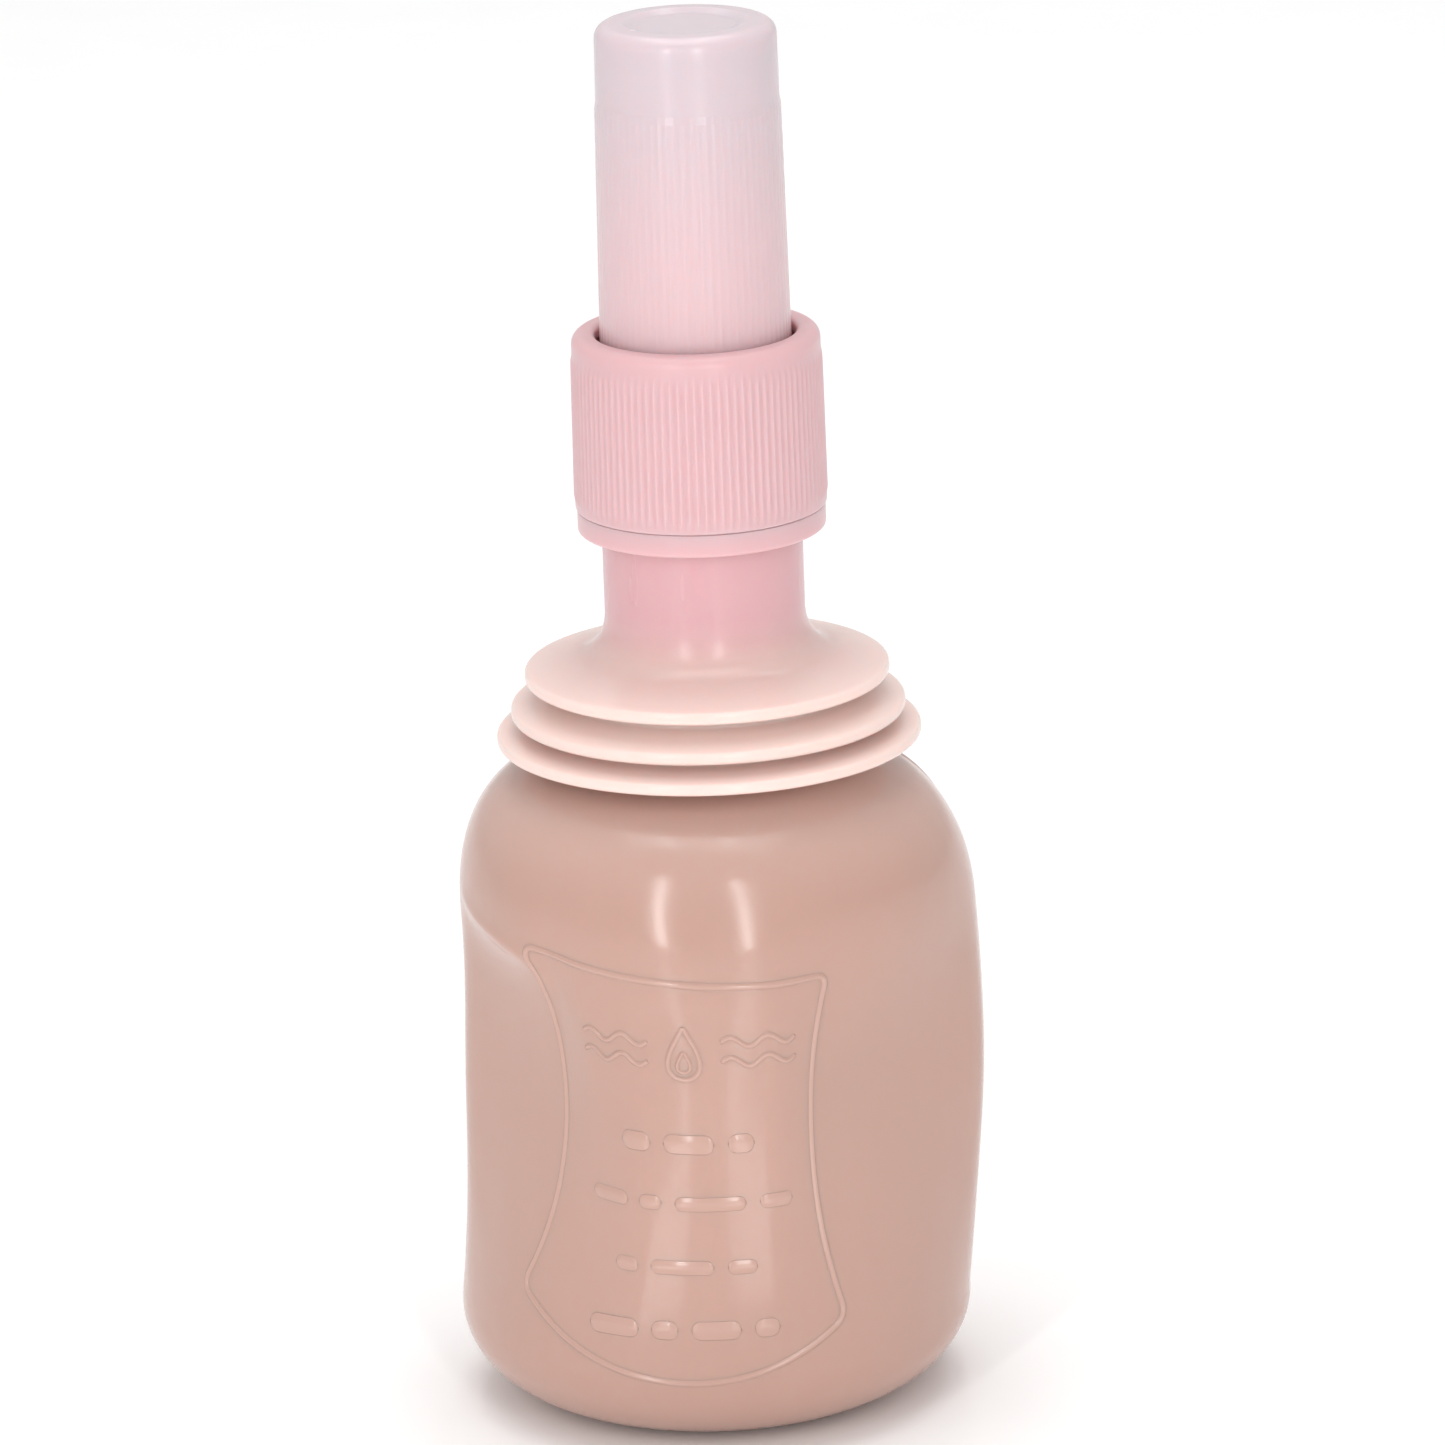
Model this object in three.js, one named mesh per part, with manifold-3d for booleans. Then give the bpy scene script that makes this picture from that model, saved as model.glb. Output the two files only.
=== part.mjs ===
// Squeeze irrigator bottle: blow-moulded body with a bellows neck, screw collar, nozzle and overcap.
// Units are millimetres, +Z is up and the origin is the centre of the base.
import * as THREE from 'three';
import { mergeVertices } from 'three/addons/utils/BufferGeometryUtils.js';
import Module from 'manifold-3d';

const wasm = await Module();
wasm.setup();

// Gaps: between faces that rest on each other, and between parts cut from one wall.
const REST_GAP = 0.15;
const CUT_GAP = 0.3;

// Body of the bottle.
const BODY_R = 26;
const WALL = 1.4;
const BASE_CORNER_R = 12.9;
const BASE_CORNER_H = 9.2;
const PUSH_UP_R = 9;
const PUSH_UP_H = 1.2;
const SHOULDER_Z = 50.6;
const SHOULDER_H = 16;
const SHOULDER_R = 13.6;
const SHOULDER_FULLNESS = 2.25;
const MOUTH_R = 13;

// Squeeze walls: an hourglass outline on the front and on the back of the body.
const PANEL_BOTTOM_Z = 11;
const PANEL_TOP_Z = 48.5;
const PANEL_WAIST_Z = 34;
const PANEL_BOTTOM_HALF = 16;
const PANEL_WAIST_HALF = 12;
const PANEL_TOP_HALF = 14;

// Bellows folds, lowest first.
const FOLD_BORE_R = 13;
const FOLD_SLEEVE_R = 13.9;
const FOLD_ROOT_T = 1.8;
const FOLD_TIP_T = 1.2;
const FOLDS = [
  { name: 'bellows_fold_lower', z: 68.9, r: 21.2, from: 67.1, to: 70.1 },
  { name: 'bellows_fold_middle', z: 71.6, r: 19.7, from: 70.4, to: 73.1 },
  { name: 'bellows_fold_upper', z: 75.2, r: 18.2, from: 73.4, to: 76.1 },
];

// Neck.
const NECK_R = 10;
const NECK_BORE_R = 8.6;
const NECK_FOOT_Z = 76.4;
const NECK_FLARE_R = 5;
const NECK_TOP_Z = 100;
const BEAD_Z = 92.9;
const BEAD_R = 10.75;
const BEAD_HALF = 0.5;

// Screw thread shared by the neck and the collar.
const THREAD_PITCH = 3.2;
const THREAD_SECTION_R = 0.55;
const THREAD_Z = 95;
const THREAD_TURNS = 1;

// Collar and the tamper band under it.
const COLLAR_Z = 92.35;
const COLLAR_TOP_Z = 110.2;
const COLLAR_R = 12.25;
const COLLAR_BORE_R = 10.95;
const COLLAR_MOUTH_R = 10.8;
const LIP_Z = 102.6;
const LIP_T = 1.2;
const LIP_R = 9.85;
const RIB_COUNT = 60;
const RIB_H = 0.3;
const BAND_Z = 90;
const BAND_TOP_Z = 92.05;
const BAND_R = 12.2;
const BAND_BORE_R = 10.35;

// Cannula, its seal and the valve in its plug.
const FLANGE_R = 10.45;
const FLANGE_Z = 101.25;
const FLANGE_T = 1.2;
const PLUG_R = 8.3;
const PLUG_Z = 94;
const VALVE_BORE_R = 5.5;
const VALVE_BORE_TOP_Z = 99.6;
const CANNULA_FOOT_R = 7;
const CANNULA_STEM_R = 4.6;
const CANNULA_TIP_R = 5;
const CANNULA_STEM_Z = 131;
const CANNULA_TOP_Z = 138.4;
const CANNULA_BORE_R = 2.6;
const CANNULA_BORE_TOP_Z = 134;
const OUTLET_W = 1.5;
const OUTLET_H = 5;
const OUTLET_Z = 129;
const WASHER_R = 9.9;
const WASHER_BORE_R = 8.7;
const VALVE_R = 5.3;
const SEAT_Z = 94.2;
const SEAT_T = 1.5;
const SEAT_BORE_R = 2.3;
const SPIGOT_R = 3.3;
const SPIGOT_L = 6;
const DISC_R = 4.3;
const DISC_T = 0.8;
const CAGE_Z = 97.7;
const CAGE_T = 1.3;
const CAGE_BORE_R = 4.3;
const DIP_TUBE_R = 2.05;
const DIP_TUBE_BORE_R = 1.35;
const DIP_TUBE_Z = 5;
const DIP_TUBE_TOP_Z = 93;

// Overcap.
const CAP_TOP_Z = 141.2;
const CAP_FOOT_R = 9.5;
const CAP_RIB_TOP_R = 9;
const CAP_CROWN_R = 8.85;
const CAP_STEP_Z = 133;
const CAP_EDGE_R = 2.4;
const CAP_RECESS_R = 5.9;
const CAP_RECESS_H = 0.6;
const CAP_WALL = 1.1;

const BODY_SEGMENTS = 40;
const NECK_SEGMENTS = 32;
const SMALL_SEGMENTS = 24;

const point = (r, z) => new THREE.Vector2(r, z);

// Points on an ellipse arc, angles in degrees from the outward radial direction; fullness 2 is a true ellipse.
function arc(centreR, centreZ, radiusR, radiusZ, from, to, steps, fullness = 2) {
  const bend = (value) => Math.sign(value) * Math.abs(value) ** (2 / fullness);
  return Array.from({ length: steps + 1 }, (_, i) => {
    const angle = THREE.MathUtils.degToRad(from + ((to - from) * i) / steps);
    return point(centreR + radiusR * bend(Math.cos(angle)), centreZ + radiusZ * bend(Math.sin(angle)));
  });
}

// A closed ring: its outline is turned about Z and joined back to its first point.
function ring(outline, segments) {
  return new THREE.LatheGeometry([...outline, outline[0]], segments).rotateX(Math.PI / 2);
}

// A turned solid whose outline starts and ends on the axis.
function turned(outline, segments) {
  return new THREE.LatheGeometry(outline, segments).rotateX(Math.PI / 2);
}

// A closed mesh as a solid that can be joined or cut: shared vertices merged, collapsed triangles dropped.
function toSolid(geometry) {
  const bare = geometry.clone();
  bare.deleteAttribute('normal');
  bare.deleteAttribute('uv');
  const merged = mergeVertices(bare, 1e-4);
  const corners = merged.index.array;
  const kept = [];
  for (let i = 0; i < corners.length; i += 3) {
    const [a, b, c] = corners.subarray(i, i + 3);
    if (a !== b && b !== c && c !== a) kept.push(a, b, c);
  }
  return new wasm.Manifold(new wasm.Mesh({
    numProp: 3,
    vertProperties: new Float32Array(merged.attributes.position.array),
    triVerts: new Uint32Array(kept),
  }));
}

function toGeometry(solid) {
  const { vertProperties, triVerts } = solid.getMesh();
  const geometry = new THREE.BufferGeometry();
  geometry.setAttribute('position', new THREE.BufferAttribute(vertProperties, 3));
  geometry.setIndex(new THREE.BufferAttribute(triVerts, 1));
  geometry.computeVertexNormals();
  return geometry;
}

function plastic(color, roughness = 0.35) {
  return new THREE.MeshStandardMaterial({ color, roughness, metalness: 0 });
}

const BODY_PLASTIC = plastic('#d3ae9f');
const FOLD_PLASTIC = plastic('#e3c3b8');
const NECK_PLASTIC = plastic('#ecbfc2');
const COLLAR_PLASTIC = plastic('#f1c9ca', 0.45);
const CAP_PLASTIC = plastic('#ebd2d8', 0.3);
const CLEAR_PLASTIC = plastic('#f2eeea', 0.25);
const SEAL_RUBBER = plastic('#d8d4cf', 0.7);

const part = new THREE.Group();

function addNode(name, geometry, material) {
  const mesh = new THREE.Mesh(geometry, material.clone());
  mesh.name = name;
  part.add(mesh);
}

// Height of the shoulder's outer face above its springing line, at a given radius.
function shoulderHeight(r) {
  const across = (r - (BODY_R - SHOULDER_R)) / SHOULDER_R;
  return SHOULDER_H * (1 - across ** SHOULDER_FULLNESS) ** (1 / SHOULDER_FULLNESS);
}

// The whole body shell: base with a push-up, rounded corner, straight wall and dome shoulder, open at the mouth.
function bodyShell() {
  const baseR = BODY_R - BASE_CORNER_R;
  const rimOuterR = MOUTH_R + WALL;
  const rimZ = SHOULDER_Z + shoulderHeight(rimOuterR);
  const shoulderEnd = THREE.MathUtils.radToDeg(Math.acos(
    ((rimOuterR - (BODY_R - SHOULDER_R)) / SHOULDER_R) ** (SHOULDER_FULLNESS / 2),
  ));
  const outside = [
    point(0, PUSH_UP_H),
    point(PUSH_UP_R - 2, PUSH_UP_H),
    point(PUSH_UP_R, 0),
    ...arc(baseR, BASE_CORNER_H, BASE_CORNER_R, BASE_CORNER_H, -90, 0, 6),
    ...arc(BODY_R - SHOULDER_R, SHOULDER_Z, SHOULDER_R, SHOULDER_H, 0, shoulderEnd, 8, SHOULDER_FULLNESS),
  ];
  const inside = [
    point(MOUTH_R, rimZ - 0.4),
    ...arc(BODY_R - SHOULDER_R, SHOULDER_Z, SHOULDER_R - WALL, SHOULDER_H - WALL,
      shoulderEnd - 10, 0, 6, SHOULDER_FULLNESS),
    ...arc(baseR, BASE_CORNER_H, BASE_CORNER_R - WALL, BASE_CORNER_H - WALL, 0, -90, 5),
    point(PUSH_UP_R, WALL),
    point(PUSH_UP_R - 2, PUSH_UP_H + WALL),
    point(0, PUSH_UP_H + WALL),
  ];
  return toSolid(turned([...outside, ...inside], BODY_SEGMENTS));
}

// Hourglass prism through the body wall on one side (side -1 is the front, +1 the back), grown by a margin.
function panelPrism(side, margin) {
  const bottom = PANEL_BOTTOM_Z - margin;
  const top = PANEL_TOP_Z + margin;
  const outline = new THREE.Shape();
  outline.moveTo(-PANEL_BOTTOM_HALF - margin, bottom + 2);
  outline.quadraticCurveTo(0, bottom - 2, PANEL_BOTTOM_HALF + margin, bottom + 2);
  outline.quadraticCurveTo(PANEL_WAIST_HALF + margin, (bottom + PANEL_WAIST_Z) / 2,
    PANEL_WAIST_HALF + margin, PANEL_WAIST_Z);
  outline.quadraticCurveTo(PANEL_WAIST_HALF + margin, (top + PANEL_WAIST_Z) / 2, PANEL_TOP_HALF + margin, top);
  outline.lineTo(-PANEL_TOP_HALF - margin, top);
  outline.quadraticCurveTo(-PANEL_WAIST_HALF - margin, (top + PANEL_WAIST_Z) / 2,
    -PANEL_WAIST_HALF - margin, PANEL_WAIST_Z);
  outline.quadraticCurveTo(-PANEL_WAIST_HALF - margin, (bottom + PANEL_WAIST_Z) / 2,
    -PANEL_BOTTOM_HALF - margin, bottom + 2);
  const depth = BODY_R;
  const prism = new THREE.ExtrudeGeometry(outline, { depth, bevelEnabled: false, curveSegments: 5 });
  prism.rotateX(Math.PI / 2);
  return toSolid(prism.translate(0, side < 0 ? 0 : depth, 0));
}

function buildBody() {
  const shell = bodyShell();
  const windows = panelPrism(-1, CUT_GAP).add(panelPrism(1, CUT_GAP));
  addNode('bottle_body', toGeometry(shell.subtract(windows)), BODY_PLASTIC);
  addNode('squeeze_wall_front', toGeometry(shell.intersect(panelPrism(-1, 0))), BODY_PLASTIC);
  addNode('squeeze_wall_back', toGeometry(shell.intersect(panelPrism(1, 0))), BODY_PLASTIC);
}

// A bellows fold is a short sleeve with a flat ring around it that thins towards its rounded edge.
function buildFold({ name, z, r, from, to }) {
  const tipR = FOLD_TIP_T / 2;
  const outline = [
    point(FOLD_BORE_R, to),
    point(FOLD_BORE_R, from),
    point(FOLD_SLEEVE_R, from),
    point(FOLD_SLEEVE_R, z - FOLD_ROOT_T / 2),
    ...arc(r - tipR, z, tipR, tipR, -90, 90, 4),
    point(FOLD_SLEEVE_R, Math.min(z + FOLD_ROOT_T / 2, to)),
    point(FOLD_SLEEVE_R - CUT_GAP, to),
  ];
  addNode(name, ring(outline, NECK_SEGMENTS), FOLD_PLASTIC);
}

// A round-section thread: a right-hand helix at the given radius, swept along its length.
class Helix extends THREE.Curve {
  constructor(r, z) {
    super();
    this.r = r;
    this.z = z;
  }

  getPoint(t, target = new THREE.Vector3()) {
    const turn = 2 * Math.PI * THREAD_TURNS * t;
    return target.set(this.r * Math.cos(turn), this.r * Math.sin(turn), this.z + THREAD_PITCH * THREAD_TURNS * t);
  }
}

function threadRidge(r, z) {
  const section = new THREE.Shape().absarc(0, 0, THREAD_SECTION_R, 0, 2 * Math.PI);
  const extrudePath = new Helix(r, z);
  return toSolid(new THREE.ExtrudeGeometry(section, { steps: 24, curveSegments: 3, extrudePath }));
}

function buildNeck() {
  const flareR = NECK_R + NECK_FLARE_R;
  const outline = [
    point(FOLD_BORE_R, NECK_FOOT_Z),
    ...arc(flareR, NECK_FOOT_Z + NECK_FLARE_R, NECK_FLARE_R, NECK_FLARE_R, -90, -180, 5),
    point(NECK_R, BEAD_Z - BEAD_HALF),
    point(BEAD_R, BEAD_Z),
    point(NECK_R, BEAD_Z + BEAD_HALF),
    point(NECK_R, NECK_TOP_Z),
    point(NECK_BORE_R, NECK_TOP_Z),
    point(NECK_BORE_R, NECK_FOOT_Z + NECK_FLARE_R),
  ];
  const tube = toSolid(ring(outline, NECK_SEGMENTS));
  addNode('neck_tube', toGeometry(tube.add(threadRidge(NECK_R + 0.1, THREAD_Z))), NECK_PLASTIC);
}

// Grip ribs: a toothed ring around the collar.
function ribRing() {
  const outline = new THREE.Shape();
  for (let i = 0; i < 2 * RIB_COUNT; i += 1) {
    const angle = (Math.PI * i) / RIB_COUNT;
    const r = COLLAR_R + (i % 2 ? 0 : RIB_H);
    const [x, y] = [r * Math.cos(angle), r * Math.sin(angle)];
    if (i === 0) outline.moveTo(x, y);
    else outline.lineTo(x, y);
  }
  outline.closePath();
  outline.holes.push(new THREE.Path().absarc(0, 0, COLLAR_R - 0.6, 0, 2 * Math.PI, true));
  const depth = COLLAR_TOP_Z - COLLAR_Z - 2;
  const teeth = new THREE.ExtrudeGeometry(outline, { depth, bevelEnabled: false, curveSegments: 8 });
  return toSolid(teeth.translate(0, 0, COLLAR_Z + 0.3));
}

function buildCollar() {
  const rimR = (COLLAR_R - COLLAR_MOUTH_R) / 2;
  const outline = [
    point(COLLAR_R, COLLAR_Z),
    ...arc(COLLAR_MOUTH_R + rimR, COLLAR_TOP_Z - rimR, rimR, rimR, 0, 180, 6),
    point(COLLAR_MOUTH_R, LIP_Z + LIP_T + 0.5),
    point(LIP_R, LIP_Z + LIP_T),
    point(LIP_R, LIP_Z),
    point(COLLAR_BORE_R, LIP_Z),
    point(COLLAR_BORE_R, COLLAR_Z),
  ];
  const shell = toSolid(ring(outline, NECK_SEGMENTS));
  const ridge = threadRidge(COLLAR_BORE_R, THREAD_Z + THREAD_PITCH / 2);
  addNode('ribbed_collar', toGeometry(shell.add(ribRing()).add(ridge)), COLLAR_PLASTIC);
}

function buildTamperBand() {
  const outline = [
    point(BAND_BORE_R, BAND_TOP_Z),
    point(BAND_BORE_R + 0.4, BAND_Z),
    point(BAND_R - 0.3, BAND_Z),
    point(BAND_R, BAND_Z + 0.3),
    point(BAND_R, BAND_TOP_Z),
  ];
  addNode('tamper_band', ring(outline, NECK_SEGMENTS), COLLAR_PLASTIC);
}

function buildOvercap() {
  const foot = FLANGE_Z + FLANGE_T + REST_GAP;
  const inside = CAP_TOP_Z - CAP_RECESS_H - CAP_WALL;
  const outline = [
    point(0, inside),
    point(CAP_CROWN_R - 2 * CAP_WALL, inside),
    point(CAP_CROWN_R - CAP_WALL, inside - CAP_WALL),
    point(CAP_FOOT_R - CAP_WALL, foot),
    point(CAP_FOOT_R, foot),
    point(CAP_RIB_TOP_R, CAP_STEP_Z),
    point(CAP_CROWN_R, CAP_STEP_Z + 0.15),
    ...arc(CAP_CROWN_R - CAP_EDGE_R, CAP_TOP_Z - CAP_EDGE_R, CAP_EDGE_R, CAP_EDGE_R, 0, 90, 5),
    point(CAP_RECESS_R, CAP_TOP_Z - CAP_RECESS_H),
    point(0, CAP_TOP_Z - CAP_RECESS_H),
  ];
  addNode('overcap', turned(outline, NECK_SEGMENTS), CAP_PLASTIC);
}

function buildCannula() {
  const tipR = CANNULA_TIP_R;
  const outline = [
    point(0, CANNULA_BORE_TOP_Z),
    point(CANNULA_BORE_R, CANNULA_BORE_TOP_Z),
    point(CANNULA_BORE_R, VALVE_BORE_TOP_Z),
    point(VALVE_BORE_R, VALVE_BORE_TOP_Z),
    point(VALVE_BORE_R, PLUG_Z),
    point(PLUG_R, PLUG_Z),
    point(PLUG_R, FLANGE_Z),
    point(FLANGE_R, FLANGE_Z),
    point(FLANGE_R, FLANGE_Z + FLANGE_T),
    point(CANNULA_FOOT_R, FLANGE_Z + FLANGE_T),
    point(CANNULA_STEM_R, CANNULA_STEM_Z),
    ...arc(0, CANNULA_TOP_Z - tipR, tipR, tipR, -15, 90, 7),
  ];
  const body = toSolid(turned(outline, SMALL_SEGMENTS));
  const outlets = [[OUTLET_W, 4 * tipR], [4 * tipR, OUTLET_W]].map(([x, y]) => (
    toSolid(new THREE.BoxGeometry(x, y, OUTLET_H).translate(0, 0, OUTLET_Z))
  ));
  addNode('cannula', toGeometry(body.subtract(outlets[0]).subtract(outlets[1])), CLEAR_PLASTIC);
}

// A plain washer or tube.
function tube(outerR, boreR, bottomZ, topZ) {
  return ring([point(boreR, bottomZ), point(outerR, bottomZ), point(outerR, topZ), point(boreR, topZ)],
    SMALL_SEGMENTS);
}

function buildValve() {
  const washerTop = FLANGE_Z - REST_GAP;
  addNode('sealing_washer', tube(WASHER_R, WASHER_BORE_R, NECK_TOP_Z + REST_GAP, washerTop), SEAL_RUBBER);
  const seat = [
    point(SEAT_BORE_R, SEAT_Z - SPIGOT_L),
    point(SPIGOT_R, SEAT_Z - SPIGOT_L),
    point(SPIGOT_R, SEAT_Z),
    point(VALVE_R, SEAT_Z),
    point(VALVE_R, SEAT_Z + SEAT_T),
    point(SEAT_BORE_R, SEAT_Z + SEAT_T),
  ];
  addNode('valve_seat', ring(seat, SMALL_SEGMENTS), CLEAR_PLASTIC);
  const disc = new THREE.CylinderGeometry(DISC_R, DISC_R, DISC_T, SMALL_SEGMENTS).rotateX(Math.PI / 2);
  disc.translate(0, 0, SEAT_Z + SEAT_T + REST_GAP + DISC_T / 2);
  addNode('valve_disc', disc, SEAL_RUBBER);
  const barLength = 2 * CAGE_BORE_R + 0.8;
  const bars = [[barLength, 1.4], [1.4, barLength]].map(([x, y]) => (
    toSolid(new THREE.BoxGeometry(x, y, CAGE_T).translate(0, 0, CAGE_Z + CAGE_T / 2))
  ));
  const cage = toSolid(tube(VALVE_R, CAGE_BORE_R, CAGE_Z, CAGE_Z + CAGE_T)).add(bars[0]).add(bars[1]);
  addNode('valve_cage', toGeometry(cage), CLEAR_PLASTIC);
  addNode('dip_tube', tube(DIP_TUBE_R, DIP_TUBE_BORE_R, DIP_TUBE_Z, DIP_TUBE_TOP_Z), CLEAR_PLASTIC);
}

buildBody();
FOLDS.forEach(buildFold);
buildNeck();
buildCollar();
buildTamperBand();
buildOvercap();
buildCannula();
buildValve();

export default part;
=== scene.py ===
"""Looks of a squeeze irrigator bottle around its CAD frame: an add-on layout that is run as a script."""
import math

import bmesh
import bpy
import numpy as np
from bpy.props import FloatProperty, FloatVectorProperty, IntProperty, PointerProperty
from mathutils import Matrix, Vector


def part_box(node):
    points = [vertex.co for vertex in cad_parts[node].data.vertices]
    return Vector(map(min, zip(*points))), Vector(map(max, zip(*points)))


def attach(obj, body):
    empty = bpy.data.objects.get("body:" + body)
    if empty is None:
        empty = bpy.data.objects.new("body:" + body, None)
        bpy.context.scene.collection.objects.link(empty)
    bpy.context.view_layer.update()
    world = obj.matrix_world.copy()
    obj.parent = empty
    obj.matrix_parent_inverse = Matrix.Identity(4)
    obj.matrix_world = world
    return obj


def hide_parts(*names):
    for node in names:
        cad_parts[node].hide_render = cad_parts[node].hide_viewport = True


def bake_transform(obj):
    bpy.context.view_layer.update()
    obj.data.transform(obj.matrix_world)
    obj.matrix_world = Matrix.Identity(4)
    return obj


bl_info = {
    "name": "Squeeze Irrigator Bottle",
    "version": (1, 0, 0),
    "blender": (4, 5, 0),
    "location": "View3D > Sidebar > Bottle",
    "description": "Builds the moulded skins, the closure and the stage of a squeeze irrigator bottle",
    "category": "Add Mesh",
}

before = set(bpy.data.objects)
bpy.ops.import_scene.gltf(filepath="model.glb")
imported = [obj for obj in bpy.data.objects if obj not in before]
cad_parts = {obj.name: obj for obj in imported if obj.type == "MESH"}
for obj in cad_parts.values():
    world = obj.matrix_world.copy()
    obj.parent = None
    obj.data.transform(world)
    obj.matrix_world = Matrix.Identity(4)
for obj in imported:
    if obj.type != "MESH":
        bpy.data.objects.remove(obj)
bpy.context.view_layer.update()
MM = 0.001


def node_radius(node):
    """Half the width of a CAD node across X."""
    low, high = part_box(node)
    return (high.x - low.x) / 2


def node_heights(node):
    """Lowest and highest point of a CAD node."""
    low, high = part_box(node)
    return low.z, high.z


# ---------------------------------------------------------------------------------------------------------
# Settings
# ---------------------------------------------------------------------------------------------------------

def length(name, description, default):
    return FloatProperty(name=name, description=description, default=default, unit="LENGTH", precision=5)


def turn(name, description, degrees):
    return FloatProperty(name=name, description=description, default=math.radians(degrees),
                         subtype="ANGLE")


def colour(name, description, default):
    return FloatVectorProperty(name=name, description=description, default=default, subtype="COLOR",
                               size=3, min=0, max=1)


class BodySettings(bpy.types.PropertyGroup):
    """Sizes of the blow-moulded body."""

    radius: length("Body radius", "Outer radius of the straight wall",
                   node_radius("bottle_body") - 0.15 * MM)
    wall: length("Wall", "Thickness of the blow-moulded wall", 1.2 * MM)
    base_corner: length("Base corner", "Reach of the rounded base corner towards the axis", 12.9 * MM)
    base_height: length("Base corner height", "Height of the rounded base corner", 9.2 * MM)
    shoulder_start: length("Shoulder start", "Height where the wall turns into the shoulder", 50.7 * MM)
    shoulder_rise: length("Shoulder rise", "Height of the full shoulder curve", 16.05 * MM)
    shoulder_reach: length("Shoulder reach", "Reach of the full shoulder curve inwards", 13.65 * MM)
    mouth: length("Mouth radius", "Radius where the shoulder meets the bellows", 14.3 * MM)
    left_depth: length("Left flank depth", "How far the flank left of the label has sunk in", 3.8 * MM)
    right_depth: length("Right flank depth", "How far the flank right of the label has sunk in", 4.3 * MM)
    seam: turn("Parting line", "Azimuth of the parting lines, from the label's middle", 115)
    fold: length("Fold", "How far the crease above the left flank stands out", 0.25 * MM)
    bow: length("Bow", "How far the body bows sideways at half height", 0.55 * MM)
    belly: length("Belly", "How far the wall bulges at half height", 0.4 * MM)
    pinch: length("Pinch", "How far the ridge between the flanks stands out", 0.6 * MM)


class LabelSettings(bpy.types.PropertyGroup):
    """Sizes of the raised label, measured along the body's face."""

    top: length("Top", "Height of the label's top edge", 50.7 * MM)
    bottom: length("Bottom", "Height of the lowest point of the bowed bottom edge", 8.8 * MM)
    corner_height: length("Corner height", "Height of the bottom corners", 14.1 * MM)
    top_width: length("Top width", "Width between the top corners", 30.6 * MM)
    foot_width: length("Foot width", "Width between the bottom corners", 35 * MM)
    waist: length("Waist", "How far the sides bow inwards", 3.3 * MM)
    left_reach: length("Left reach", "How much further round the body the left side lies", 2.6 * MM)
    line: length("Line", "Width of the raised outline", 0.7 * MM)
    rise: length("Rise", "How far the outline stands out", 0.22 * MM)
    sign_height: length("Sign height", "Height of the row of signs", 43.6 * MM)


class ClosureSettings(bpy.types.PropertyGroup):
    """Sizes of the collar, its threads, the tamper band's bridges and the overcap."""

    grip_ribs: IntProperty(name="Grip ribs", description="Ribs around the collar", default=96, min=12)
    rib_height: length("Rib height", "How far a grip rib stands out", 0.13 * MM)
    cap_ribs: IntProperty(name="Cap ribs", description="Faint ribs around the overcap", default=72, min=12)
    cap_rib_height: length("Cap rib height", "How far a rib of the overcap stands out", 0.035 * MM)
    bridges: IntProperty(name="Bridges", description="Bridges on the tamper band", default=14, min=3)
    pitch: length("Pitch", "Rise of the screw thread in one turn", 3.2 * MM)
    thread_start: length("Thread start", "Height where the neck's thread starts", 95 * MM)


class FinishSettings(bpy.types.PropertyGroup):
    """Colours of the moulded plastics, as linear light. The folds' colour is partly the plastic's own and
    partly painted light shining through the thin folds.
    """

    body: colour("Body", "Colour of the filled body", (0.512, 0.322, 0.266))
    shoulder: colour("Shoulder", "Colour of the body just under the bellows", (0.592, 0.407, 0.354))
    # Folds: the plastic's colour made lighter with painted light that shines through the thin folds.
    folds: colour("Folds", "Colour of the bellows folds", (0.817, 0.656, 0.609))
    flange: colour("Flange", "Colour of the upper fold's broad top", (0.751, 0.528, 0.491))
    neck: colour("Neck", "Colour of the neck", (0.694, 0.415, 0.443))
    collar: colour("Collar", "Colour of the screw collar", (0.680, 0.439, 0.461))
    cap_low: colour("Cap foot", "Colour of the overcap at its foot", (0.705, 0.502, 0.525))
    cap_high: colour("Cap crown", "Colour of the overcap at its crown", (0.635, 0.542, 0.579))
    nozzle: colour("Nozzle", "Colour of the nozzle, the valve and the dip tube", (0.820, 0.790, 0.740))
    seal: colour("Seal", "Colour of the soft seals", (0.600, 0.570, 0.530))


class StageSettings(bpy.types.PropertyGroup):
    """Where the camera stands."""

    azimuth: turn("Azimuth", "Turn of the camera around the bottle, from the label's front", 9)
    elevation: turn("Elevation", "Height angle of the camera", 16.6)
    roll: turn("Roll", "Tilt of the camera", 1.95)
    distance: FloatProperty(name="Distance", description="From the camera to the bottle's axis",
                            default=0.9, unit="LENGTH")
    width_seen: length("Width seen", "Width of the view at that distance", 144.5 * MM)


# ---------------------------------------------------------------------------------------------------------
# Surfaces
# ---------------------------------------------------------------------------------------------------------

def smooth_step(value):
    """0 below 0, 1 above 1, and three squares less two cubes between."""
    t = np.clip(value, 0, 1)
    return t * t * (3 - 2 * t)


def smooth_minimum(a, b, width):
    """The smaller of two arrays, with a quadratic blend where they are less than width apart."""
    share = np.clip(0.5 + 0.5 * (b - a) / width, 0, 1)
    return b * (1 - share) + a * share - width * share * (1 - share)


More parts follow.
